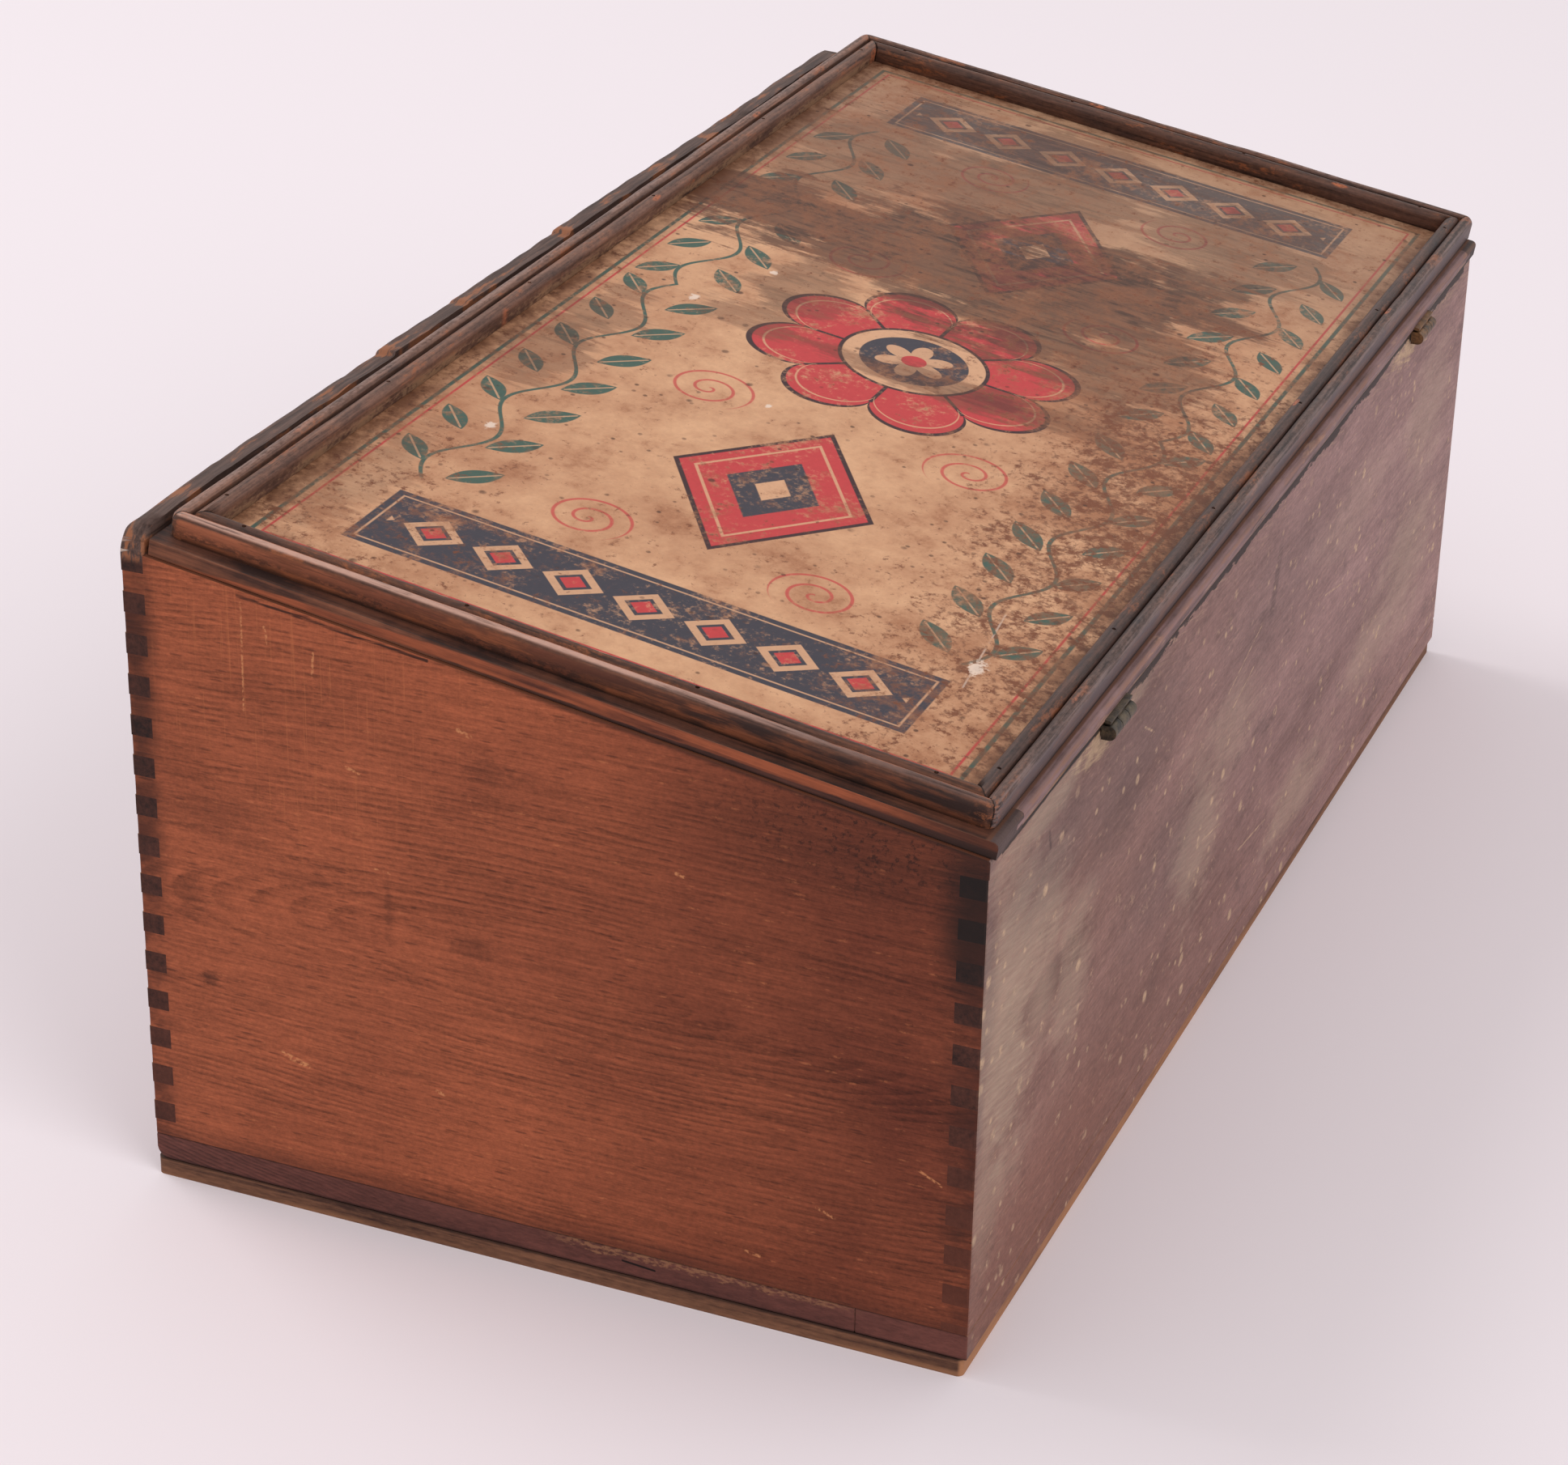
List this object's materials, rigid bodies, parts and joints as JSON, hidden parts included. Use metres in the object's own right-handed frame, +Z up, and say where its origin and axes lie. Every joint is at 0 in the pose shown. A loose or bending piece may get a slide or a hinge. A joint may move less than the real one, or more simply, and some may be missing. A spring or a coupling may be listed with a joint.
{
  "type": "sloping-lid counter box",
  "caption": "Wooden shop counter box with finger-jointed corners, divided compartments and a sloping hinged lid that frames a printed tin plate in dark moulding.",
  "frame": {"origin": "on the surface the box stands on, in the middle of the carcass", "axes": "+X towards the near end panel, +Y towards the low side with the hinges, +Z up"},
  "size_m": [0.5273, 0.2618, 0.214],
  "materials": {
    "stained_wood": "orange-red stain, worn, satin",
    "faded_wood": "faded purple-brown paint, matt",
    "dark_wood": "near-black stain, worn through at the edges",
    "plain_wood": "bare softwood, darkened by age",
    "printed_tin": "aged cream lithographed tin, stained and scratched",
    "aged_brass": "dark bronze patina",
    "dark_steel": "dull, darkened"
  },
  "bodies": {
    "box": {"end_panel_near": "stained_wood", "end_panel_far": "stained_wood", "hinge_wall": "faded_wood", "tall_wall": "faded_wood", "bottom_board_wide": "dark_wood", "bottom_board_narrow": "dark_wood", "base_strip_near": "plain_wood", "base_strip_far": "plain_wood", "base_strip_hinge_side": "plain_wood", "base_strip_tall_side": "plain_wood", "divider_long": "plain_wood", "divider_cross_1": "plain_wood", "divider_cross_2": "plain_wood", "divider_cross_3": "plain_wood", "divider_cross_4": "plain_wood", "divider_cross_5": "plain_wood", "divider_cross_6": "plain_wood", "near_hinge_wall_leaf": "aged_brass", "near_hinge_pin": "dark_steel", "far_hinge_wall_leaf": "aged_brass", "far_hinge_pin": "dark_steel", "hinge_wall_screws": "dark_steel", "bottom_nails": "dark_steel"},
    "lid": {"lid_panel": "faded_wood", "lid_cleat_near": "stained_wood", "lid_cleat_far": "stained_wood", "moulding_near": "dark_wood", "moulding_far": "dark_wood", "moulding_hinge_side": "dark_wood", "moulding_tall_side": "dark_wood", "sign_plate": "printed_tin", "near_hinge_lid_leaf": "aged_brass", "far_hinge_lid_leaf": "aged_brass", "hinge_lid_screws": "dark_steel", "moulding_brads": "dark_steel"}
  },
  "joints": [
    {"name": "lid_hinge", "type": "hinge", "parent": "box", "child": "lid", "pos_m": [0, 0.1311, 0.1593], "axis": [-1, 0, 0], "range_deg": [0, 195]}
  ]
}
